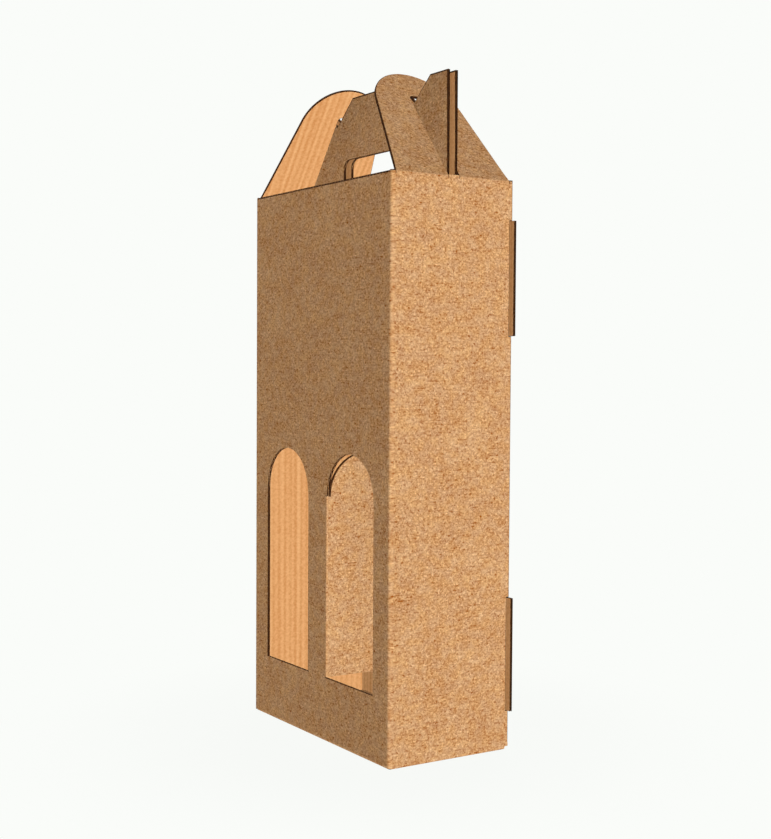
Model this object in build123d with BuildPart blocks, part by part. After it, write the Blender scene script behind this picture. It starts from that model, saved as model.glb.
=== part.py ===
"""Two-bottle wine carrier, die-cut and folded from one sheet of corrugated board.

Millimetres. The origin is the middle of the base on the floor, +X is to the right of the
front wall, +Y runs from the front wall to the back wall and +Z is up.
"""

import os
from math import asin, atan2, cos, hypot, sin, sqrt

from build123d import *

# Board: thickness, inside radius of a fold, outside radius of a fold
board = 1.8
crease = 0.4
fold = board + crease
half_board = board / 2

# Box: outside width and depth, floor to the top of the roof
width = 165.0
depth = 85.0
height = 340.0
right = width / 2
back = depth / 2

# Clearances: round a hinged fold, between cut edges, along the handle in a slot
hinge_gap = 0.3
cut_gap = 0.6
slot_gap = 0.4
overrun = 5.0

# Roof: depth of the cut score that lets each roof panel fold back from its wall
score = 1.4
wall_top = height - score

# Handle: rise above the roof, space between its two layers, play beside the side walls
handle_rise = 60.5
handle_space = 3.8
handle_play = 0.2
handle_top = height + handle_rise
handle_back = handle_space / 2
handle_face = handle_back + board
handle_end = right - board - handle_play

# Handle notches: ear at each end, opening and depth of the notch beside it
ear_width = 18.2
notch_width = 37.7
notch_depth = 16.1
ear_corner = handle_end - ear_width
notch_middle = ear_corner - notch_width / 2
grip_corner = ear_corner - notch_width
notch_bottom = handle_top - notch_depth

# Hand hole in both layers of the handle
hole_width = 70.0
hole_height = 19.0
hole_radius = 6.0
hole_drop = 38.5
hole_middle = handle_top - hole_drop - hole_height / 2

# Lock flaps: inset at the corners, rounding of the tip, board beyond the slot
flap_inset = 2.6
flap_round = 30.0
flap_tip = 19.8
slot_round = 2.0
notch_play = 0.9
flap_half = back - flap_inset
lock_hinge_x = right - half_board
lock_hinge_z = height - half_board
side_top = lock_hinge_z - half_board - hinge_gap

# The flap leans in until it lies just short of the bottom of the handle's notches
notch_in = lock_hinge_x - notch_middle
notch_up = notch_bottom - lock_hinge_z
lean = atan2(notch_in, notch_up) - asin((half_board + notch_play) / hypot(notch_in, notch_up))

# The slot clears the inner corner of the ear as the flap swings
slot_half = handle_face + slot_gap
ear_swing = hypot(lock_hinge_x - ear_corner, handle_top - lock_hinge_z)
slot_corner = slot_round - sqrt(slot_round**2 - (slot_round - slot_gap) ** 2)
slot_end = ear_swing + slot_gap + slot_corner
flap_length = slot_end + flap_tip

# The roof stops short of the leaning flaps
roof_half = lock_hinge_x - (half_board * (1 + sin(lean)) + hinge_gap) / cos(lean)

# Windows: strip between the two, strip at each side wall, sill and spring line of the arch
window_strip = 23.4
window_margin = 17.7
window_sill = 39.3
window_spring = 151.0
window_in = window_strip / 2
window_out = right - window_margin
window_middle = (window_in + window_out) / 2
window_radius = (window_out - window_in) / 2

# Window flaps: fold line in the middle of the front wall's board, behind the strip's edge
flap_hinge_x = window_in - half_board
flap_hinge_y = half_board - back
strip_edge = flap_hinge_x - half_board - hinge_gap

# Bottom: reach of the glued front and side flaps, seam between them, height of the floor
front_reach = 52.5
side_reach = 40.0
seam = 1.0
mitre = seam / sqrt(2)
floor_top = 2 * board

# Glue flap inside the right wall, and the two tabs of the back wall that pass its edge
glue_width = 24.0
glue_inset = 6.0
glue_taper = 8.0
tab_height = 68.0
tab_inset = 24.0
tab_reach = 4.0
tab_low = tab_inset + tab_height / 2
tab_high = height - tab_low
glue_face = right - board


os.makedirs("parts", exist_ok=True)

with BuildPart() as carton:
    # Front roof panel, from the cut score at the wall to the foot of the handle
    with BuildSketch(Plane.YZ.offset(-roof_half)):
        with BuildLine():
            Polyline(
                (score - back, height),
                (-handle_face, height),
                (-handle_face, height + fold),
                (-handle_back, height + fold),
                (-handle_back, height - board),
                (score - back, height - board),
                close=True,
            )
        make_face()
        fillet(vertices().sort_by_distance((-handle_face, height))[0], radius=crease)
        fillet(vertices().sort_by_distance((-handle_back, height - board))[0], radius=fold)
    extrude(amount=2 * roof_half)

    # Front layer of the handle, with an ear and a notch at each end and the hand hole
    with BuildSketch(Plane.XZ.offset(handle_back)):
        with BuildLine():
            Polyline(
                (0, height),
                (handle_end, height),
                (handle_end, handle_top),
                (ear_corner, handle_top),
                (notch_middle, notch_bottom),
                (grip_corner, handle_top),
                (0, handle_top),
            )
            mirror(about=Plane.YZ)
        make_face()
        with Locations((0, hole_middle)):
            RectangleRounded(hole_width, hole_height, hole_radius, mode=Mode.SUBTRACT)
    extrude(amount=board)

    # The back wall carries the same roof panel and handle layer
    mirror(about=Plane.XZ)

    # Walls and floor: a box with round folds up the front corners and along the bottom
    with BuildSketch():
        Rectangle(width, depth)
        fillet(vertices().group_by(Axis.Y)[0], radius=fold)
    extrude(amount=wall_top)
    fillet(edges().group_by(Axis.Z)[0].sort_by(Axis.Y)[:-1], radius=fold)
    with BuildSketch(Plane.XY.offset(floor_top)):
        Rectangle(width - 2 * board, depth - 2 * board)
        fillet(vertices(), radius=crease)
    extrude(amount=height - board - floor_top, mode=Mode.SUBTRACT)

    # The side walls end under the folds of the lock flaps
    with BuildSketch(Plane.XY.offset(side_top)):
        with Locations((-right, 0), (right, 0)):
            Rectangle(2 * board + cut_gap, 2 * (flap_half + hinge_gap))
    extrude(amount=board, mode=Mode.SUBTRACT)

    # Lower layer of the bottom: one front flap and two side flaps, mitred at the front
    with BuildSketch(Plane.XY.offset(-overrun)):
        Rectangle(width + 2 * overrun, depth + 2 * overrun)
        with BuildLine():
            Polyline(
                (0, -back - overrun),
                (right - mitre + overrun, -back - overrun),
                (right - mitre - front_reach, front_reach - back),
                (0, front_reach - back),
            )
            mirror(about=Plane.YZ)
        make_face(mode=Mode.SUBTRACT)
        for side in (-1, 1):
            with BuildLine():
                Polyline(
                    (side * (right + overrun), mitre - back - overrun),
                    (side * (right - side_reach), mitre - back + side_reach),
                    (side * (right - side_reach), back - fold),
                    (side * (right + overrun), back - fold),
                    close=True,
                )
            make_face(mode=Mode.SUBTRACT)
    extrude(amount=overrun + board, mode=Mode.SUBTRACT)

    # The floor panel folds in from the back wall and lies free of the other three
    fillet(edges().filter_by(Axis.X).sort_by_distance((0, back, board))[0], radius=fold)
    with BuildSketch(Plane.XY.offset(board)):
        Rectangle(width - 2 * board, depth - 2 * board)
        with Locations((0, cut_gap)):
            Rectangle(width - 2 * (board + cut_gap), depth - 2 * board, mode=Mode.SUBTRACT)
    extrude(amount=board, mode=Mode.SUBTRACT)

    # Windows: arched cuts in the front wall, wider where their flaps fold in
    with BuildSketch(Plane.XZ.offset(back + overrun)):
        with BuildLine():
            Polyline(
                (window_in, window_spring),
                (strip_edge, window_spring),
                (strip_edge, window_sill),
                (window_out, window_sill),
                (window_out, window_spring),
            )
            CenterArc((window_middle, window_spring), window_radius, 0, 180)
        make_face()
        mirror(about=Plane.YZ)
    extrude(amount=-2 * overrun, mode=Mode.SUBTRACT)

    # Glue flap of the back wall, against the inside of the right wall
    with BuildSketch(Plane.YZ.offset(glue_face - board)):
        with BuildLine():
            Polyline(
                (back - board, glue_inset),
                (back - glue_width, glue_inset + glue_taper),
                (back - glue_width, height - glue_inset - glue_taper),
                (back - board, height - glue_inset),
                close=True,
            )
        make_face()
    extrude(amount=board)

    # Round folds up the back: the left corner, and the glue flap beside the right wall's free edge
    with BuildSketch():
        with Locations((-right, back)):
            Rectangle(fold, fold, align=(Align.MIN, Align.MAX))
        with Locations((glue_face, back)):
            Rectangle(fold, board - crease, align=(Align.MAX, Align.MAX))
        with Locations((fold - right, back - fold), (glue_face - fold, back - fold)):
            Circle(fold, mode=Mode.SUBTRACT)
    extrude(amount=height, mode=Mode.SUBTRACT)

    # Tabs of the back wall, through notches in the free edge of the right wall
    tab_places = ((glue_face, back, tab_low), (glue_face, back, tab_high))
    with Locations(*tab_places):
        Box(
            board + overrun,
            2 * (board + cut_gap),
            tab_height + 2 * cut_gap,
            align=(Align.MIN, Align.CENTER, Align.CENTER),
            mode=Mode.SUBTRACT,
        )
    with Locations(*[(x, y - board, z) for x, y, z in tab_places]):
        Box(
            board,
            tab_reach + board,
            tab_height,
            align=(Align.MAX, Align.MAX, Align.CENTER),
            mode=Mode.SUBTRACT,
        )
    with Locations(*[(x - fold, y, z) for x, y, z in tab_places]):
        Box(
            fold + board + tab_reach,
            board,
            tab_height,
            align=(Align.MIN, Align.MAX, Align.CENTER),
        )

carton.part.label = "carton"
export_step(carton.part, "parts/carton.step")

# Lock flaps: one swings in from the top of each side wall and takes the handle in its slot
for side, name in ((-1, "left_lock_flap"), (1, "right_lock_flap")):
    leaning = Plane(
        origin=(side * lock_hinge_x, 0, lock_hinge_z),
        x_dir=(0, 1, 0),
        z_dir=(cos(lean), 0, side * sin(lean)),
    )
    with BuildPart() as lock_flap:
        with BuildSketch(leaning):
            with BuildLine():
                Line((-flap_half, 0), (flap_half, 0))
                CenterArc((0, flap_length - flap_round), flap_round, 0, 360)
            make_hull()
        extrude(amount=half_board, both=True)
        with BuildSketch(Plane.XZ):
            with Locations((side * lock_hinge_x, lock_hinge_z)):
                Circle(half_board)
        extrude(amount=flap_half, both=True)
        with BuildSketch(leaning):
            with Locations((0, slot_end)):
                Rectangle(2 * slot_half, slot_end + board, align=(Align.CENTER, Align.MAX))
            fillet(vertices().group_by(Axis.Y)[-1], radius=slot_round)
        extrude(amount=board, both=True, mode=Mode.SUBTRACT)
    lock_flap.part.label = name
    export_step(lock_flap.part, f"parts/{name}.step")

# Window flaps: the cut-outs of the windows, folded in beside the strip to part the bottles
for side, name in ((-1, "left_window_flap"), (1, "right_window_flap")):
    folded_in = Plane(
        origin=(side * flap_hinge_x, flap_hinge_y, 0),
        x_dir=(0, 1, 0),
        z_dir=(1, 0, 0),
    )
    with BuildPart() as window_flap:
        with BuildSketch(folded_in):
            with BuildLine():
                arch = CenterArc(
                    (window_middle - flap_hinge_x, window_spring),
                    window_radius - cut_gap,
                    0,
                    180,
                )
                Polyline(
                    arch @ 1,
                    ((arch @ 1).X, window_spring - hinge_gap),
                    (0, window_spring - hinge_gap),
                    (0, window_sill + cut_gap),
                    ((arch @ 0).X, window_sill + cut_gap),
                    arch @ 0,
                )
            make_face()
        extrude(amount=half_board, both=True)
        with BuildSketch(Plane.XY.offset(window_sill + cut_gap)):
            with Locations((side * flap_hinge_x, flap_hinge_y)):
                Circle(half_board)
        extrude(amount=window_spring - window_sill - hinge_gap - cut_gap)
    window_flap.part.label = name
    export_step(window_flap.part, f"parts/{name}.step")
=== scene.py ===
"""Two-bottle wine carrier of corrugated kraft board.

Metres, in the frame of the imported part: +X right, +Y to the back, +Z up, the base on the floor.
Every panel is built as the board is: two flat liners with a fluted sheet between them, so a cut
across the flutes shows them. A panel has its own width u, height v and depth w, all measured on
the sheet before it was folded, and a path folds it into place.
"""

from functools import partial
from math import asin, atan2, cos, hypot, pi, radians, sin, sqrt, tan

import bpy
import numpy as np
from mathutils import Matrix, Vector


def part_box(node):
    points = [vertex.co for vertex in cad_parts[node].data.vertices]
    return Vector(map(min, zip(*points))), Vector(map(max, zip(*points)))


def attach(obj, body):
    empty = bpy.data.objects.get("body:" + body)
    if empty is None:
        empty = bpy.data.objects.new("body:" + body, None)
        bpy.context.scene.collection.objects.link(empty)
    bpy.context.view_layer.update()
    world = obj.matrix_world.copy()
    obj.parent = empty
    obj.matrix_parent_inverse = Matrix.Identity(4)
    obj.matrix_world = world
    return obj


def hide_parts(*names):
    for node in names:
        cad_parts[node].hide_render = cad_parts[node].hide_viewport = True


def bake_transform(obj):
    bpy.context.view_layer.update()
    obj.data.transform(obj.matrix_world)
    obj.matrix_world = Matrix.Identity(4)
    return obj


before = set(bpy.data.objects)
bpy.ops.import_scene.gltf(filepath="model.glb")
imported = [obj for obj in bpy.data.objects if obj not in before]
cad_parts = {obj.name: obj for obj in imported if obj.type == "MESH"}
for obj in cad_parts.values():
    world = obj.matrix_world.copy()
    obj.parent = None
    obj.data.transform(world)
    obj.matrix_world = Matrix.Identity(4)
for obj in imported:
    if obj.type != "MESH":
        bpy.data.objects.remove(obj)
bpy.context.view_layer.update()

MM = 0.001
carton_low, carton_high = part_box("carton")
flap_low, flap_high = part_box("right_window_flap")
_, lock_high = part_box("right_lock_flap")

# Board: thickness, its two liners, the fluted sheet between them and its waves
board = flap_high[0] - flap_low[0]
half = board / 2
liner = 0.26 * MM
flute_sheet = 0.2 * MM
flute_pitch = 3.3 * MM
flute_height = half - liner - flute_sheet / 2

# Folds: inside radius, outside radius, and the radius of the middle of the board
crease = 0.4 * MM
fold = board + crease
bend = crease + half

# Cut edges: how far they are crushed, and how many times as far on some of them
# A crushed edge shows a wider slanted rim in the dark cut finish, which is painted shade
crush = 0.4 * MM
post_crush = 1.6
tab_crush = 0.6
grip_crush = 2.4
swing_crush = 1.5

# Box: outside corner, top of the roof, cut score beside the roof, clearances
right = -carton_low[0]
back = -carton_low[1]
height = 340.0 * MM
score = 1.4 * MM
wall_top = height - score
hinge_gap = 0.3 * MM
cut_gap = 0.6 * MM

# Handle: two layers, with an ear and a notch at each end and a hand hole
handle_top = carton_high[2]
handle_space = 3.8 * MM
handle_play = 0.2 * MM
handle_middle = (handle_space + board) / 2
handle_end = right - board - handle_play
ear_width = 18.2 * MM
notch_width = 37.7 * MM
notch_depth = 16.1 * MM
ear_corner = handle_end - ear_width
notch_middle = ear_corner - notch_width / 2
grip_corner = ear_corner - notch_width
notch_bottom = handle_top - notch_depth
hole_half = 35.0 * MM
hole_height = 19.0 * MM
hole_round = 6.0 * MM
hole_drop = 38.5 * MM
hole_top = handle_top - hole_drop
hole_bottom = hole_top - hole_height
back_hole_rise = 1.2 * MM

# Lock flaps: each leans in until it lies just short of the bottom of the handle's notches
lock_x = right - half
lock_z = height - half
side_top = lock_z - half - hinge_gap
notch_play = 0.9 * MM
notch_in = lock_x - notch_middle
notch_up = notch_bottom - lock_z
lean = atan2(notch_in, notch_up) - asin((half + notch_play) / hypot(notch_in, notch_up))
roof_half = lock_x - (half * (1 + sin(lean)) + hinge_gap) / cos(lean)

# Each flap's slot clears the inner corners of the handle's ears as it swings, and a tip lies beyond
slot_gap = 0.4 * MM
slot_round = 2.0 * MM
tongue_half = handle_middle + half
slot_half = tongue_half + slot_gap
ear_swing = hypot(lock_x - ear_corner, handle_top - lock_z)
slot_corner = slot_round - sqrt(slot_round**2 - (slot_round - slot_gap) ** 2)
slot_end = ear_swing + slot_gap + slot_corner
flap_half = lock_high[1]
flap_round = 30.0 * MM
flap_tip = 19.8 * MM
flap_length = slot_end + flap_tip

# Windows and their flaps
window_in = flap_high[0]
swing_x = window_in - half
swing_y = half - back
swing_reach = flap_high[1] - swing_y
strip_edge = swing_x - half - hinge_gap
window_out = swing_x + swing_reach + cut_gap
window_middle = (window_in + window_out) / 2
window_round = (window_out - window_in) / 2
window_sill = flap_low[2] - cut_gap
window_spring = flap_high[2] + cut_gap - window_round

# Bottom: reach of the front and side flaps, seam between them, height of the middle of the floor
# panel's board, foot of the walls' round corners
front_reach = 52.5 * MM
side_reach = 40.0 * MM
seam = 1.0 * MM
mitre = seam / sqrt(2)
floor_middle = board + half
corner_low = half

# Glue flap, and the two tabs beside it that pass through notches in the right wall
glue_width = 24.0 * MM
glue_inset = 6.0 * MM
glue_taper = 8.0 * MM
glue_x = right - board - half
tab_end = carton_high[0]
tab_relief = tab_end - right + 2 * board
tab_play = 0.1 * MM
tab_inset = 24.0 * MM
tab_height = 68.0 * MM
tab_low = (tab_inset, tab_inset + tab_height)
tab_high = (height - tab_low[1], height - tab_low[0])

# How many steps a bend and a wave take, and how many columns each round or slanting edge takes
bend_steps = 6
flute_steps = 8
window_columns = 49
swing_columns = 61
bottom_columns = 41
hole_columns = 10
slot_columns = 7
tip_columns = 32
taper_columns = 12

# Lengths under a speck are none; columns and points that agree to so many digits are one
speck = 1e-9
column_digits = 8
point_digits = 9

# Faces that meet at more than this angle have a sharp edge
sharp_angle = radians(25)

# Which finish each kind of face takes, and the faces of the two liners: top, bottom and rims
# The flutes' finish, on the fluted sheet and the liners' hidden sides, is dark as painted shade
FACE, INSIDE, SHADED_FLUTES, SHADED_CUT = range(4)
# The cut finish of the rims is dark as painted shade of the open cut edges
OUTER = (FACE, SHADED_FLUTES, SHADED_CUT, SHADED_CUT)
INNER = (SHADED_FLUTES, INSIDE, SHADED_CUT, SHADED_CUT)

# Where each panel lies in the pattern of the paper, in metres along it
PATTERN = {
    "walls": 0.0,
    "tabs": 1.1,
    "front_roof_and_handle": 2.0,
    "back_roof_and_handle": 4.0,
    "front_bottom_flap": 5.0,
    "right_bottom_flap": 6.0,
    "left_bottom_flap": 7.0,
    "floor_panel": 8.0,
    "right_lock_flap": 10.0,
    "left_lock_flap": 12.0,
    "outer_crease": 13.0,
    "inner_crease": 14.0,
    "left_window_flap": 15.0,
    "right_window_flap": 17.0,
    "left_window_flap_crease": 18.0,
    "right_window_flap_crease": 20.0,
}


class Shade:
    """A socket of a node tree. Sums and products of shades add Math nodes to the tree."""

    def __init__(self, tree, socket=None):
        self.tree = tree
        self.socket = socket

    def node(self, kind, settings, sockets, output=0):
        """Adds a node: its settings first, then values or links for its input sockets."""
        made = self.tree.nodes.new(kind)
        for name, value in settings.items():
            setattr(made, name, value)
        for name, value in sockets.items():
            if isinstance(value, Shade):
                value.into(made.inputs[name])
            else:
                made.inputs[name].default_value = value
        return Shade(self.tree, made.outputs[output])

    def into(self, socket):
        """Links this shade to an input socket."""
        self.tree.links.new(self.socket, socket)

    def math(self, operation, first, second):
        """Adds a Math node; numbers stay on its sockets."""
        return self.node("ShaderNodeMath", {"operation": operation}, {0: first, 1: second})

    def __add__(self, other):
        return self.math("ADD", self, other)

    def __radd__(self, other):
        return self.math("ADD", other, self)

    def __sub__(self, other):
        return self.math("SUBTRACT", self, other)

    def __rsub__(self, other):
        return self.math("SUBTRACT", other, self)

    def __mul__(self, other):
        return self.math("MULTIPLY", self, other)

    def __rmul__(self, other):
        return self.math("MULTIPLY", other, self)

    def swing(self, share):
        """How far a pattern of 0 to 1 lies from its middle, times a share."""
        return (self - 0.5) * share

    def noise(self, place, scale, detail, rough=0.5):
        """Even noise from 0 to 1 on a place, with cells of 1 / scale of the place's unit."""
        settings = {"noise_dimensions": "3D", "normalize": True}
        sockets = {"Vector": place, "Scale": scale, "Detail": detail, "Roughness": rough}
        return self.node("ShaderNodeTexNoise", settings, sockets)

    def stretched_noise(self, place, scales, detail, rough=0.5):
        """Noise whose cells have a different size each way."""
        settings = {"operation": "MULTIPLY"}
        scaled = self.node("ShaderNodeVectorMath", settings, {0: place, 1: scales})
        return self.noise(scaled, 1.0, detail, rough)

    def above(self, low, high):
        """0 below low, 1 above high, and a smooth step between."""
        settings = {"interpolation_type": "SMOOTHSTEP"}
        return self.node("ShaderNodeMapRange", settings, {"Value": self, "From Min": low, "From Max": high})

    def blend(self, first, second, factor):
        """Mixes two colours; a Mix node's colour sockets go by number."""
        settings = {"data_type": "RGBA", "clamp_factor": True}
        return self.node("ShaderNodeMix", settings, {0: factor, 6: first, 7: second}, 2)


def tone(red, green, blue):
    """A screen colour of 0 to 255 as the linear colour that a shader takes."""
    srgb = np.array([red, green, blue]) / 255
    linear = np.where(srgb <= 0.04045, srgb / 12.92, ((srgb + 0.055) / 1.055) ** 2.4)
    return (*linear.tolist(), 1.0)


# Paper: flutes that show through it, depth and strength of its relief, contrast of its grain
rib_pitch = 4.1 * MM
relief_depth = 0.3 * MM
relief_strength = 0.08
grain_contrast = 2.15

# A wave texture repeats every pi / 10 of its scaled place
flute_scale = pi / 10 / flute_pitch
rib_scale = pi / 10 / rib_pitch


def finish(name, roughness, sheen):
    """A new paper material: the start of its tree, its shader and its place on the flat sheet."""
    material = bpy.data.materials.new(name)
    material.use_nodes = True
    tree = material.node_tree
    shader = tree.nodes["Principled BSDF"]
    shader.inputs["Roughness"].default_value = roughness
    shader.inputs["Specular IOR Level"].default_value = sheen
    start = Shade(tree)
    place = start.node("ShaderNodeAttribute", {"attribute_name": "sheet"}, {}, "Vector")
    return material, start, shader, place


def emboss(start, relief):
    """The normals of a faint relief in the paper."""
    sockets = {"Strength": relief_strength, "Distance": relief_depth, "Height": relief}
    return start.node("ShaderNodeBump", {}, sockets)


def kraft_face():
    """Outside liner: brown kraft with mottled pulp, dark and pale flecks, and a few long hairs."""
    material, start, shader, place = finish("kraft_face", roughness=0.88, sheen=0.1)
    pulp = start.stretched_noise(place, (600.0, 770.0, 700.0), detail=2.0, rough=0.62)
    fibre = start.stretched_noise(place, (1100.0, 900.0, 0.0), detail=1.0)
    mottle = start.noise(place, 150.0, detail=1.0)
    cloud = start.noise(place, 40.0, detail=1.0)
    flecks = start.stretched_noise(place, (520.0, 680.0, 0.0), detail=0.0).above(0.64, 0.82)
    glints = start.stretched_noise(place, (610.0, 790.0, 0.0), detail=0.0).above(0.64, 0.82)
    hairs = start.stretched_noise(place, (75.0, 1300.0, 0.0), detail=0.0).above(0.68, 0.82)
    paper = pulp * 0.6 + fibre * 0.4
    patches = mottle.swing(0.14) + cloud.swing(0.24)
    marks = glints * 0.4 - flecks * 0.36 - hairs * 0.28
    grain = paper.swing(grain_contrast) + 0.505 + patches + marks
    redness = mottle.above(0.3, 0.7)
    dark = start.blend(tone(159, 83, 16), tone(154, 83, 25), redness)
    pale = start.blend(tone(249, 202, 142), tone(244, 201, 151), redness)
    waves = {"Vector": place, "Scale": flute_scale}
    flutes = start.node("ShaderNodeTexWave", {"bands_direction": "X"}, waves)
    start.blend(dark, pale, grain).into(shader.inputs["Base Color"])
    emboss(start, paper + flutes * 0.25).into(shader.inputs["Normal"])
    return material


def kraft_inside():
    """Inside liner: smoother, paler and more orange, streaked along the flutes beneath it."""
    material, start, shader, place = finish("kraft_inside", roughness=0.85, sheen=0.1)
    streaks = start.stretched_noise(place, (340.0, 4.0, 0.0), detail=1.0)
    pulp = start.noise(place, 700.0, detail=2.0)
    settings = {"operation": "MULTIPLY"}
    along = start.node("ShaderNodeVectorMath", settings, {0: place, 1: (1.0, 0.02, 0.0)})
    waves = {"Vector": along, "Scale": rib_scale, "Distortion": 1.2, "Detail": 1.0, "Detail Scale": 1.0}
    ribs = start.node("ShaderNodeTexWave", {"bands_direction": "X"}, waves)
    line = ribs.swing(0.1) + streaks.swing(0.3) + pulp.swing(0.38) + 0.5
    colour = start.blend(tone(208, 139, 78), tone(245, 187, 128), line.above(0.25, 0.75))
    colour.into(shader.inputs["Base Color"])
    emboss(start, ribs * 0.2 + streaks * 0.4 + pulp * 0.4).into(shader.inputs["Normal"])
    return material


def shaded_fluted_core():
    """Fluted sheet and the hidden sides of the liners, painted dark as the shade between the two liners."""
    material, start, shader, place = finish("shaded_fluted_core", roughness=0.95, sheen=0.1)
    pulp = start.noise(place, 900.0, detail=2.0)
    colour = start.blend(tone(48, 27, 11), tone(88, 52, 24), pulp.above(0.35, 0.75))
    colour.into(shader.inputs["Base Color"])
    return material


def shaded_cut_rim():
    """Cut edges of the liners, painted much darker than their faces as the shade of the open cut edge."""
    material, start, shader, place = finish("shaded_cut_rim", roughness=0.9, sheen=0.15)
    pulp = start.noise(place, 800.0, detail=2.0)
    colour = start.blend(tone(54, 28, 8), tone(96, 57, 25), pulp.above(0.35, 0.75))
    colour.into(shader.inputs["Base Color"])
    return material


finishes = [kraft_face(), kraft_inside(), shaded_fluted_core(), shaded_cut_rim()]


def route(corners, radius):
    """A path in a plane: straight legs between the corners, each corner rounded by one radius.

    Gives a function of the length run along the path, and the lengths where its legs and arcs
    meet. On a leg the point moves on by the length; on an arc of curvature c, from heading a to
    heading b, it moves on by (sin b - sin a, cos a - cos b) / c. The normal lies to the right.
    """
    corners = np.array(corners)
    legs = np.diff(corners, axis=0)
    lengths = np.hypot(legs[:, 0], legs[:, 1])
    headings = np.unwrap(np.arctan2(legs[:, 1], legs[:, 0]))
    turns = np.diff(headings)
    setbacks = radius * np.tan(np.abs(turns) / 2)
    straights = lengths - np.append(setbacks, 0) - np.insert(setbacks, 0, 0)
    spans = np.zeros(2 * len(legs) - 1)
    spans[0::2] = straights
    spans[1::2] = radius * np.abs(turns)
    knots = np.insert(np.cumsum(spans), 0, 0)
    angles = np.repeat(headings, 2)
    curves = np.zeros(len(spans))
    curves[1::2] = np.sign(turns) / radius
    ways = np.stack([np.cos(headings), np.sin(headings)], axis=-1)
    points = np.zeros((len(spans), 2))
    points[0::2] = corners[:-1] + np.insert(setbacks, 0, 0)[:, None] * ways
    points[1::2] = corners[1:-1] - setbacks[:, None] * ways[:-1]

    def along(length):
        spot = np.clip(np.searchsorted(knots, length, side="right") - 1, 0, len(spans) - 1)
        angle = np.interp(length, knots, angles)
        run = length - knots[spot]
        curve = curves[spot]
        flat = curve == 0
        divisor = np.where(flat, 1, curve)
        step_a = np.where(flat, run * np.cos(angle), (np.sin(angle) - np.sin(angles[spot])) / divisor)
        step_b = np.where(flat, run * np.sin(angle), (np.cos(angles[spot]) - np.cos(angle)) / divisor)
        return points[spot, 0] + step_a, points[spot, 1] + step_b, np.sin(angle), -np.cos(angle)

    return along, knots


def upright(path):
    """Folds a panel round a path on the floor plan: u runs along it, v is up, w is to its right."""

    def place(u, v, w):
        x, y, across_x, across_y = path(u)
        return np.stack([x + w * across_x, y + w * across_y, v], axis=-1)

    return place


def rolled(path, turn):
    """Folds a panel over a path in an upright plane: v runs along it, w is to its right, and u is
    level. The path's first number is a distance out from the middle of the box towards the front,
    turned by quarter turns for the right, the back and the left."""
    c, s = round(cos(turn * pi / 2)), round(sin(turn * pi / 2))

    def place(u, v, w):
        out, z, across_out, across_z = path(v)
        out = out + w * across_out
        return np.stack([c * u + s * out, s * u - c * out, z + w * across_z], axis=-1)

    return place


def setback(across, v, level, side):
    """The way each point of a rim moves into its sheet, by one unit square to the rim.

    A rim's side of unit normal n moves by n. Where two sides meet, their point moves by
    2 (n + m) / |n + m|^2, so that both sides move by one unit. Where they face each other, so
    that |n + m|^2 is all but nothing, it stays.
    """
    least_square = 0.05
    way = np.zeros((*v.shape, 2))
    count = np.zeros(v.shape)
    run, rise = np.diff(across, axis=1), np.diff(v, axis=1)
    length = np.maximum(np.hypot(run, rise), speck)
    along_rows = level[..., None] * np.stack([-rise / length, run / length], axis=-1)
    standing = np.where(np.abs(np.diff(v, axis=0)) > speck, side, 0)
    along_columns = np.stack([standing, 0 * standing], axis=-1)
    for ends in (np.s_[:, :-1], np.s_[:, 1:]):
        way[ends] += along_rows
        count[ends] += np.abs(level)
    for ends in (np.s_[:-1], np.s_[1:]):
        way[ends] += along_columns
        count[ends] += np.abs(standing)
    square = np.sum(way**2, axis=-1)
    share = np.where(square > least_square, count / np.maximum(square, least_square), 0)
    return way * share[..., None]


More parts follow.
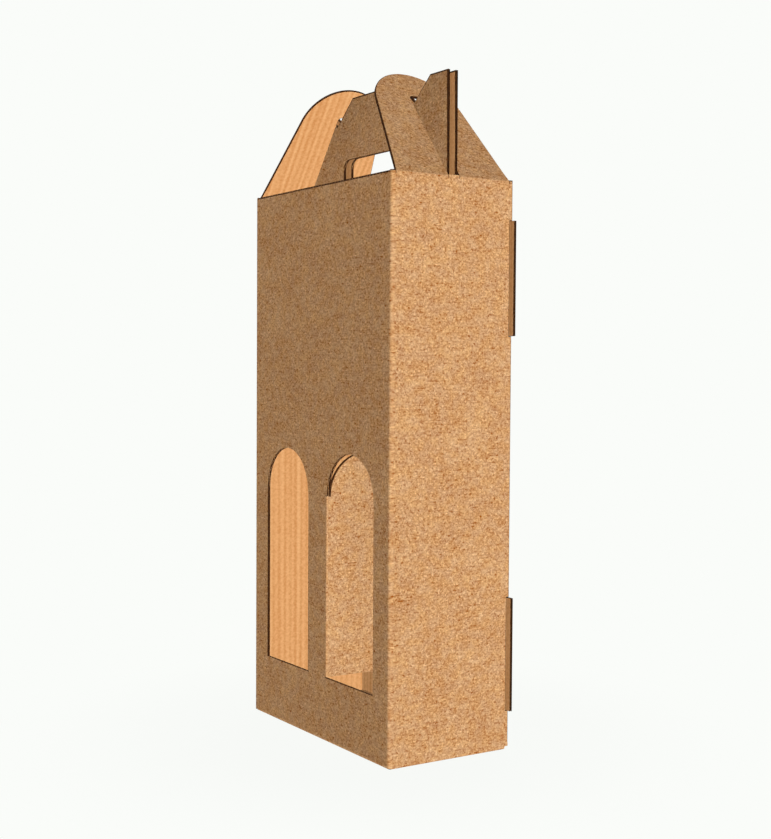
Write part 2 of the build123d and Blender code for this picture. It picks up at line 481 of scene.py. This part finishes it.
def slab(place, u, lines, cells, low, high, kinds, cut):
    """A closed sheet between the depths low and high of a panel.

    The grid has a column at each u and a row on each line; cells says which of its squares are
    board. Squares give a top and a bottom face, and each side of a square with no board beyond it
    gives a wall. At a cut edge the edge of the sheet's open face is crushed and set back, by
    cut(u, v) times a set length. kinds are the finishes of the top, the bottom and the rims across
    and along the flutes. Squares are split into triangles, and those of no area are dropped.
    """
    v = np.stack([np.broadcast_to(line, u.shape) for line in lines])
    across = np.broadcast_to(u, v.shape)
    grid = np.arange(v.size).reshape(v.shape)
    under = v.size
    level = np.diff(np.pad(cells, ((1, 1), (0, 0))).astype(int), axis=0)
    side = np.diff(np.pad(cells, ((0, 0), (1, 1))).astype(int), axis=1)
    crushed = crush * setback(across, v, level, side) * cut(across, v)[..., None]
    points, sheet = [], []
    for depth, kind in ((high, kinds[0]), (low, kinds[1])):
        moved = crushed * (kind in (FACE, INSIDE))
        spot = [across + moved[..., 0], v + moved[..., 1], np.broadcast_to(depth, v.shape)]
        points.append(place(*spot).reshape(-1, 3))
        sheet.append(np.stack(spot, axis=-1).reshape(-1, 3))
    points, sheet = np.concatenate(points), np.concatenate(sheet)

    a, b, c, d = grid[:-1, :-1][cells], grid[:-1, 1:][cells], grid[1:, 1:][cells], grid[1:, :-1][cells]
    quads = [np.stack([a, b, c, d], axis=-1), np.stack([d, c, b, a], axis=-1) + under]
    e, f = grid[:, :-1], grid[:, 1:]
    g, h = grid[:-1, :], grid[1:, :]
    across_flutes = [
        np.stack([e + under, f + under, f, e], axis=-1)[level == 1],
        np.stack([e, f, f + under, e + under], axis=-1)[level == -1],
    ]
    along_flutes = [
        np.stack([g + under, g, h, h + under], axis=-1)[side == 1],
        np.stack([g + under, h + under, h, g], axis=-1)[side == -1],
    ]
    quads += [np.concatenate(across_flutes), np.concatenate(along_flutes)]

    rounded_points = points.round(point_digits)
    _, first, same = np.unique(rounded_points, axis=0, return_index=True, return_inverse=True)
    quads = [first[same.reshape(-1)[q]] for q in quads]
    triangles = [np.concatenate([q[:, [0, 1, 2]], q[:, [0, 2, 3]]]) for q in quads]
    faces = np.concatenate(triangles)
    finish_of = np.repeat(kinds, [len(t) for t in triangles])
    p, q, r = faces.T
    real = (p != q) & (q != r) & (r != p)
    used, faces = np.unique(faces[real], return_inverse=True)
    return points[used], faces.reshape(-1, 3), finish_of[real], sheet[used]


def no_cut(u, v):
    """For a sheet whose edges stay sharp."""
    return np.zeros(v.shape)


def above_fold(u, v):
    """For a panel whose only fold is its first line."""
    return v > hinge_gap


def columns(*marks):
    """All the marks in order, each once."""
    return np.unique(np.concatenate(marks).round(column_digits))


def corrugated(place, marks, outline, shift, cut, rim=SHADED_FLUTES):
    """A panel of corrugated board: outside liner, fluted sheet, inside liner.

    outline(u) gives the panel's lines, as heights over its width, and for each band between two
    lines whether it is board. The fluted sheet is a sine wave over the width. shift moves the
    panel's place in the pattern of the paper, cut(u, v) is how far its cut edges are crushed, and
    rim is the finish of the fluted sheet where it is cut across.
    """
    fine = columns(marks, np.arange(marks[0], marks[-1], flute_pitch / flute_steps))
    wave = flute_height * np.sin(2 * pi * fine / flute_pitch)
    layers = [
        (marks, half - liner, half, OUTER),
        (fine, wave - flute_sheet / 2, wave + flute_sheet / 2, (SHADED_FLUTES, SHADED_FLUTES, rim, SHADED_FLUTES)),
        (marks, -half, liner - half, INNER),
    ]
    return [layer(place, u, outline, low, high, kinds, shift, cut) for u, low, high, kinds in layers]


def layer(place, u, outline, low, high, kinds, shift, cut):
    """One sheet of a panel, with its outline worked out on the columns u."""
    lines, _ = outline(u)
    middles = (u[1:] + u[:-1]) / 2
    _, bands = outline(middles)
    cells = np.stack([np.broadcast_to(band, middles.shape) for band in bands])
    points, faces, kind, sheet = slab(place, u, lines, cells, low, high, kinds, cut)
    return points, faces, kind, sheet + np.array([shift, 0, 0])


def piece(name, sheets):
    """An object made of closed sheets, with the place on the flat sheet kept for its finishes."""
    counts = np.cumsum([0] + [len(points) for points, _, _, _ in sheets])
    points = np.concatenate([sheet[0] for sheet in sheets])
    faces = np.concatenate([sheet[1] + count for sheet, count in zip(sheets, counts)])
    mesh = bpy.data.meshes.new(name)
    mesh.from_pydata(points, [], faces)
    kinds = np.concatenate([sheet[2] for sheet in sheets])
    mesh.polygons.foreach_set("material_index", kinds)
    mesh.polygons.foreach_set("use_smooth", kinds != SHADED_CUT)
    flat = mesh.attributes.new("sheet", "FLOAT_VECTOR", "POINT")
    flat.data.foreach_set("vector", np.concatenate([sheet[3] for sheet in sheets]).ravel())
    mesh.set_sharp_from_angle(angle=sharp_angle)
    for material in finishes:
        mesh.materials.append(material)
    made = bpy.data.objects.new(name, mesh)
    bpy.context.scene.collection.objects.link(made)
    return made


def rounded(start, end, count):
    """Columns from start to end, closer at both ends but clear of the crushed edge, for a half
    circle over them: the cosines of even angles."""
    spread = start + (end - start) * (1 - np.cos(np.linspace(0, pi, count))) / 2
    clear = (spread - start > crush) & (end - spread > crush)
    return np.concatenate([[start], spread[clear], [end]])


def both(values):
    """The values and their mirror images."""
    return np.concatenate([-np.asarray(values)[::-1], np.asarray(values)])


def arch(x, radius):
    """Height of a round arch over its spring line at a distance x from its middle."""
    return np.sqrt(np.maximum(radius**2 - x**2, 0))


# Walls: one strip round the box, from the glue flap to the free edge of the right wall
wall_path, wall_knots = route(
    [
        (glue_x, back - glue_width),
        (glue_x, back - half),
        (half - right, back - half),
        (half - right, half - back),
        (right - half, half - back),
        (right - half, back),
    ],
    bend,
)
glue_end, back_start, back_end, left_start, left_end = wall_knots[1:6]
front_start, front_end, right_start, right_end = wall_knots[6:]
back_middle = back_start + right - fold
left_middle = left_start + back - fold
front_middle = front_start + right - fold
right_middle = right_start + back - fold


def at_post(x, y):
    """The walls' corners, between the ends of the roof panels and of the lock flaps."""
    return (np.abs(x) > roof_half + hinge_gap / 2) & (np.abs(y) > flap_half)


def wall_outline(u):
    """Heights, from the floor up, at which the walls' strip changes: folds, sill, tabs, arch, top."""
    x, y, _, _ = wall_path(u)
    glue = u < back_start
    at_back = u < back_end
    at_front = (u > front_start) & (u < front_end)
    at_right = u > right_start
    at_side = at_right | ((u > left_start) & (u < left_end))
    at_corner = ((u > back_end) & (u < left_start)) | ((u > left_end) & (u < front_start))
    at_corner = at_corner | ((u > front_end) & (u < right_start))
    opening = at_front & (np.abs(x) > strip_edge) & (np.abs(x) < window_out)
    arched = at_front & (np.abs(x) > window_in) & (np.abs(x) < window_out)
    tab = (at_right & (y > back - board - tab_play)) | (glue & (y > back - tab_relief))
    post = at_post(x, y)
    tongue = at_side & (np.abs(y) < tongue_half + hinge_gap / 2)
    under_lock = at_side & (np.abs(y) < flap_half + hinge_gap) & ~tongue
    spread = np.where(at_right, tab_play, 0)
    slope = np.interp(u, [0, glue_end], [glue_taper, 0])
    lines = [
        corner_low,
        fold,
        board + fold,
        glue_inset + slope,
        tab_low[0] - spread,
        window_sill,
        tab_low[1] + spread,
        window_spring + np.where(arched, arch(np.abs(x) - window_middle, window_round), 0),
        tab_high[0] - spread,
        tab_high[1] + spread,
        height - glue_inset - slope,
        side_top,
        np.where(tongue | post, height, wall_top),
    ]
    bands = [
        at_corner,
        ~at_back,
        ~glue,
        True,
        ~tab,
        ~tab & ~opening,
        ~opening,
        True,
        ~tab,
        True,
        ~glue,
        ~glue & ~under_lock,
    ]
    return lines, bands


def wall_cut(u, v):
    """Only the free edge of the right wall, its notches and the corners' tops are crushed."""
    x, y, _, _ = wall_path(u)
    free = (u > right_end - board - 2 * tab_play) & (v > board + fold + hinge_gap)
    return np.where(at_post(x, y) & (v > side_top + hinge_gap), post_crush, free)


window_marks = both(np.append(strip_edge, rounded(window_in, window_out, window_columns)))
side_marks = both([tongue_half, flap_half + hinge_gap])
roof_edges = both([roof_half, roof_half + hinge_gap])
wall_marks = columns(
    wall_knots,
    *[np.linspace(*wall_knots[k : k + 2], bend_steps + 1) for k in (1, 3, 5, 7)],
    [glue_width - tab_relief],
    back_middle + roof_edges,
    left_middle + side_marks,
    front_middle + window_marks,
    front_middle + roof_edges,
    right_middle + side_marks,
    [right_end - board - tab_play],
)
walls = corrugated(upright(wall_path), wall_marks, wall_outline, PATTERN["walls"], wall_cut, FACE)


def tab_outline(u, low, high):
    """A tab is a plain strip between two heights."""
    return [low, high], [True]


def tab_cut(u, v):
    """Only the free end of a tab is crushed."""
    return tab_crush * (u < hinge_gap)


tabs = []
tab_path, tab_knots = route([(tab_end, back - half), (glue_x - bend, back - half)], bend)
for low, high in (tab_low, tab_high):
    outline = partial(tab_outline, low=low, high=high)
    tabs += corrugated(upright(tab_path), tab_knots, outline, PATTERN["tabs"], tab_cut)

wall_piece = piece("wall_board", walls + tabs)
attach(wall_piece, "carton")
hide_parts("carton")

# Roof panels and handle layers: each folds back from its wall and then up
roof_path, roof_knots = route(
    [
        (back - score, height - half),
        (handle_middle, height - half),
        (handle_middle, handle_top),
    ],
    bend,
)
handle_foot = roof_knots[2] - (height - half + bend)


def roof_outline(u, hole_rise):
    """Lengths from the wall's score over the roof and up the handle: fold, hand hole, top edge."""
    beside = np.abs(u)
    round_part = hole_round - arch(np.maximum(beside - hole_half + hole_round, 0), hole_round)
    round_part = np.where(beside < hole_half, round_part, hole_round)
    corners = [grip_corner, notch_middle, ear_corner]
    top = np.interp(beside, corners, [handle_top, notch_bottom, handle_top])
    lines = [
        0,
        *np.linspace(roof_knots[1], roof_knots[2], bend_steps + 1),
        handle_foot + hole_bottom + round_part,
        handle_foot + hole_top + hole_rise - round_part,
        handle_foot + top,
    ]
    over_roof = beside < roof_half
    bands = [over_roof] * (bend_steps + 1) + [True, beside > hole_half, True]
    return lines, bands


def handle_cut(u, v):
    """The handle's level tops are crushed the most, and the score and the hand hole not at all."""
    ends = (np.abs(u) > hole_half + hinge_gap) & (v > hinge_gap)
    return np.where(v - handle_foot > notch_bottom + hinge_gap, grip_crush, ends)


hole_marks = hole_half - hole_round + hole_round * np.sin(np.linspace(0, pi / 2, hole_columns))
roof_marks = both(columns(hole_marks, [grip_corner, notch_middle, ear_corner, roof_half, handle_end]))
for turn, hole_rise, name in ((0, 0, "front_roof_and_handle"), (2, back_hole_rise, "back_roof_and_handle")):
    outline = partial(roof_outline, hole_rise=hole_rise)
    roof = corrugated(rolled(roof_path, turn), roof_marks, outline, PATTERN[name], handle_cut, FACE)
    roof_piece = piece(name, roof)
    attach(roof_piece, "carton")
    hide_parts("carton")


# Bottom: a floor panel from the back wall, over one front flap and two side flaps
def bottom_flap(name, turn, reach, middle, half_width, free_edge):
    """A flap folded in under a wall; free_edge(u) is how far its cut edge lies from its full reach."""
    wall = (back, right)[turn % 2] - half
    path, knots = route([(reach, middle), (wall, middle), (wall, middle + bend)], bend)
    arcs = np.linspace(knots[1], knots[2], bend_steps + 1)
    marks = half_width * np.linspace(-1, 1, bottom_columns)

    def outline(u):
        return [np.clip(free_edge(u), 0, knots[1] - crease), *arcs], [True] * (bend_steps + 1)

    return corrugated(rolled(path, turn), marks, outline, PATTERN[name], no_cut)


front_in = back - front_reach
side_in = right - side_reach
floor_in = board + cut_gap - back
front_half = right - fold
side_half = back - fold
floor_half = right - board - cut_gap
front_mitre = right - mitre - front_reach
side_mitre = side_reach + mitre - back
bottom = bottom_flap("front_bottom_flap", 0, front_in, half, front_half, lambda u: np.abs(u) - front_mitre)
bottom += bottom_flap("right_bottom_flap", 1, side_in, half, side_half, lambda u: side_mitre - u)
bottom += bottom_flap("left_bottom_flap", 3, side_in, half, side_half, lambda u: side_mitre + u)
bottom += bottom_flap("floor_panel", 2, floor_in, floor_middle, floor_half, lambda u: 0 * u)
bottom_piece = piece("bottom_flaps", bottom)
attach(bottom_piece, "carton")
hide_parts("carton")

# Lock flaps: a hull of the fold line and a round tip, with a slot for the handle
tip_middle = flap_length - flap_round
corner_reach = hypot(flap_half, tip_middle)
taper = pi / 2 - atan2(tip_middle, flap_half) - asin(flap_round / corner_reach)
tangent = flap_round * cos(taper)


def lock_edge(u):
    """Height of the flap's edge: a circle at the tip, and tangents down to the ends of the fold."""
    beside = np.abs(u)
    straight = (flap_half - beside) / tan(taper)
    return np.where(beside < tangent, tip_middle + arch(beside, flap_round), straight)


def lock_outline(u):
    """Fold line, end of the slot and edge of a lock flap; the slot's end has round corners."""
    beside = np.abs(u)
    slot_flat = slot_half - slot_round
    slot = slot_end - slot_round + arch(np.maximum(beside - slot_flat, 0), slot_round)
    share = (slot_end - slot_round) / lock_edge(np.array(slot_half))
    slot = np.where(beside < slot_half, slot, share * lock_edge(u))
    return [0, slot, lock_edge(u)], [beside > slot_half, True]


# The columns of the tip start a little outside the slot
tip_start_share = 1.2
tip_start = tip_start_share * slot_half / flap_round
tip_angles = np.linspace(tip_start, asin(tangent / flap_round), tip_columns)
lock_marks = columns(
    slot_half - slot_round + slot_round * np.sin(np.linspace(0, pi / 2, slot_columns)),
    flap_round * np.sin(tip_angles),
    np.linspace(tangent, flap_half, taper_columns),
)
lock_marks = both(lock_marks)
lock_path, _ = route(
    [(lock_x, lock_z), (lock_x - flap_length * sin(lean), lock_z + flap_length * cos(lean))], bend
)


def crease_strip(name, place, marks, lines, bands, skin, shift):
    """A strip of liner across a fold, in the shape it has at rest."""

    def outline(u):
        return lines, [bands(u)] * (len(lines) - 1)

    strip = piece(name, [layer(place, marks, outline, *skin, shift, no_cut)])
    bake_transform(strip)


def beside_slot(u):
    """The crease of a lock flap is board beside the slot only."""
    return np.abs(u) > slot_half


def all_along(u):
    """The crease of a window flap is board all along."""
    return np.full(u.shape, True)


outer_skin = (-liner, 0, OUTER)
inner_skin = (0, liner, INNER)
fold_rise = half * tan(lean / 2)
over_path, over_knots = route(
    [
        (right, side_top),
        (right, lock_z + fold_rise),
        (right - fold_rise * sin(lean), lock_z + fold_rise * (1 + cos(lean))),
    ],
    half,
)
under_path, under_knots = route(
    [(right - board, side_top), (lock_x - half * cos(lean), lock_z - half * sin(lean))], half
)
strip_marks = both([slot_half, flap_half])
for turn, side, name in ((1, 1, "right_lock_flap"), (3, -1, "left_lock_flap")):
    sheets = corrugated(rolled(lock_path, turn), lock_marks, lock_outline, PATTERN[name], above_fold)
    flap = piece(name + "_board", sheets)
    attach(flap, name)
    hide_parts(name)
    crease_strip(
        name + "_outer_crease",
        rolled(over_path, turn),
        strip_marks,
        [0, *np.linspace(over_knots[1], over_knots[2], bend_steps + 1)],
        beside_slot,
        outer_skin,
        PATTERN["outer_crease"],
    )
    crease_strip(
        name + "_inner_crease",
        rolled(under_path, turn),
        strip_marks,
        np.linspace(0, under_knots[1], bend_steps + 1),
        beside_slot,
        inner_skin,
        PATTERN["inner_crease"],
    )

# Window flaps: arched cut-outs, folded in beside the strip between the windows
swing_low = window_sill + cut_gap
swing_high = window_spring - hinge_gap
swing_near = half + hinge_gap
swing_round = (swing_reach - swing_near) / 2
swing_middle = (swing_reach + swing_near) / 2


def from_fold(u, side):
    """Distance from a window flap's fold; the left flap's path runs towards its fold."""
    return u if side > 0 else swing_reach - u


def swing_outline(u, side):
    """Heights of a window flap's two edges: level below, and above it low at the fold, then an arch."""
    reach = from_fold(u, side)
    rise = arch(reach - swing_middle, swing_round)
    top = np.where(reach > swing_middle - swing_round, window_spring + rise, swing_high)
    return [swing_low, top], [True]


def swing_cut(u, v, side):
    """A window flap is crushed round its arch, and not at its fold or its bottom edge."""
    return swing_crush * ((from_fold(u, side) > hinge_gap) & (v > swing_low + hinge_gap))


swing_marks = np.append(0, rounded(swing_middle - swing_round, swing_reach, swing_columns))
for side, name in ((1, "right_window_flap"), (-1, "left_window_flap")):
    path, _ = route([(side * swing_x, swing_y), (side * swing_x, swing_y + swing_reach)][::side], bend)
    marks = from_fold(swing_marks, side)[::side]
    outline = partial(swing_outline, side=side)
    cut = partial(swing_cut, side=side)
    flap = piece(name + "_board", corrugated(upright(path), marks, outline, PATTERN[name], cut))
    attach(flap, name)
    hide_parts(name)
    bends = [(side * strip_edge, -back), (side * window_in, -back), (side * window_in, swing_y)]
    path, knots = route(bends[::side], half)
    crease_strip(
        name + "_crease",
        upright(path),
        columns(knots, np.linspace(knots[1], knots[2], bend_steps + 1)),
        [swing_low, swing_high],
        all_along,
        outer_skin,
        PATTERN[name + "_crease"],
    )

# Floor and world: white to the camera, with the box's own faint shadow close to it
paper_white = tone(250, 252, 249)
white_level = 1.0
world_level = 0.02
stage_half = 6.0
shadow_share = 0.04
shadow_near = 0.09
shadow_far = 0.24


def seen_rays(start):
    """1 on a ray from the camera, off a gloss or through glass, and 0 on any other."""
    names = ("Is Camera Ray", "Is Glossy Ray", "Is Transmission Ray")
    seen, gloss, clear = [start.node("ShaderNodeLightPath", {}, {}, name) for name in names]
    return seen + gloss + clear


def pale_floor():
    """A wide floor that glows white, a little less so close to the box, where its shadow shows."""
    material = bpy.data.materials.new("pale_floor")
    material.use_nodes = True
    tree = material.node_tree
    start = Shade(tree)
    place = start.node("ShaderNodeTexCoord", {}, {}, "Object")
    away = start.node("ShaderNodeVectorMath", {"operation": "LENGTH"}, {0: place}, "Value")
    matt = start.node("ShaderNodeBsdfDiffuse", {}, {"Color": tone(235, 236, 234)}, "BSDF")
    white = {"Color": paper_white, "Strength": white_level}
    glow = start.node("ShaderNodeEmission", {}, white, "Emission")
    share = seen_rays(start) * (1 - shadow_share + shadow_share * away.above(shadow_near, shadow_far))
    mixed = start.node("ShaderNodeMixShader", {}, {0: share, 1: matt, 2: glow}, "Shader")
    mixed.into(tree.nodes["Material Output"].inputs["Surface"])

    mesh = bpy.data.meshes.new("floor")
    corners = stage_half * np.array([[-1, -1, 0], [1, -1, 0], [1, 1, 0], [-1, 1, 0]])
    mesh.from_pydata(corners, [], [(0, 1, 2, 3)])
    mesh.materials.append(material)
    floor = bpy.data.objects.new("floor", mesh)
    bpy.context.scene.collection.objects.link(floor)


def studio_world():
    """A world that is white to the camera and throws very little light on the box."""
    world = bpy.data.worlds.new("studio")
    bpy.context.scene.world = world
    world.use_nodes = True
    tree = world.node_tree
    start = Shade(tree)
    white = {"Color": paper_white, "Strength": white_level}
    weak = {"Color": (1, 1, 1, 1), "Strength": world_level}
    plain = start.node("ShaderNodeBackground", {}, white, "Background")
    soft = start.node("ShaderNodeBackground", {}, weak, "Background")
    mixed = start.node("ShaderNodeMixShader", {}, {0: seen_rays(start), 1: soft, 2: plain}, "Shader")
    mixed.into(tree.nodes["World Output"].inputs["Surface"])


lamp_spread = radians(50)


def soft_lamp(name, towards, strength, shadow):
    """A broad even light from one direction; towards points from the box to the lamp.

    A lamp with no shadow also reaches into the box. No lamp's light is thrown on from board to board.
    """
    lamp = bpy.data.lights.new(name, "SUN")
    lamp.energy = strength
    lamp.angle = lamp_spread
    lamp.use_shadow = shadow
    lamp.cycles.max_bounces = 0
    made = bpy.data.objects.new(name, lamp)
    made.rotation_euler = Vector(towards).to_track_quat("Z", "Y").to_euler()
    bpy.context.scene.collection.objects.link(made)


pale_floor()
studio_world()
soft_lamp("low_key", (0.872, -0.37, -0.32), 3.85, False)
soft_lamp("front", (0.0, -1.0, 0.0), 0.22, False)
soft_lamp("top", (-0.5, 0.35, 0.79), 1.3, False)
soft_lamp("fill", (-0.75, 0.64, 0.15), 3.0, True)

# Camera: found from the photograph's own edges, in pixels of a 771 by 839 frame
image_tall = 839
focal_pixels = 1378.62
sensor = 36.0
yaw, pitch, roll = radians(57.2667), radians(2.1850), radians(0.3418)
eye = Vector((0.73259, -0.46399, 0.22935))
forward = Vector((-sin(yaw) * cos(pitch), cos(yaw) * cos(pitch), -sin(pitch)))
level = Vector((cos(yaw), sin(yaw), 0))
rise = level.cross(forward)
camera_right = level * cos(roll) + rise * sin(roll)
camera_up = rise * cos(roll) - level * sin(roll)
camera_data = bpy.data.cameras.new("camera")
camera_data.sensor_width = sensor
camera_data.lens = focal_pixels * sensor / image_tall
camera = bpy.data.objects.new("camera", camera_data)
axes = Matrix((camera_right, camera_up, -forward)).transposed()
camera.matrix_world = Matrix.Translation(eye) @ axes.to_4x4()
bpy.context.scene.collection.objects.link(camera)
bpy.context.scene.camera = camera

bpy.context.scene.view_settings.view_transform = "Standard"
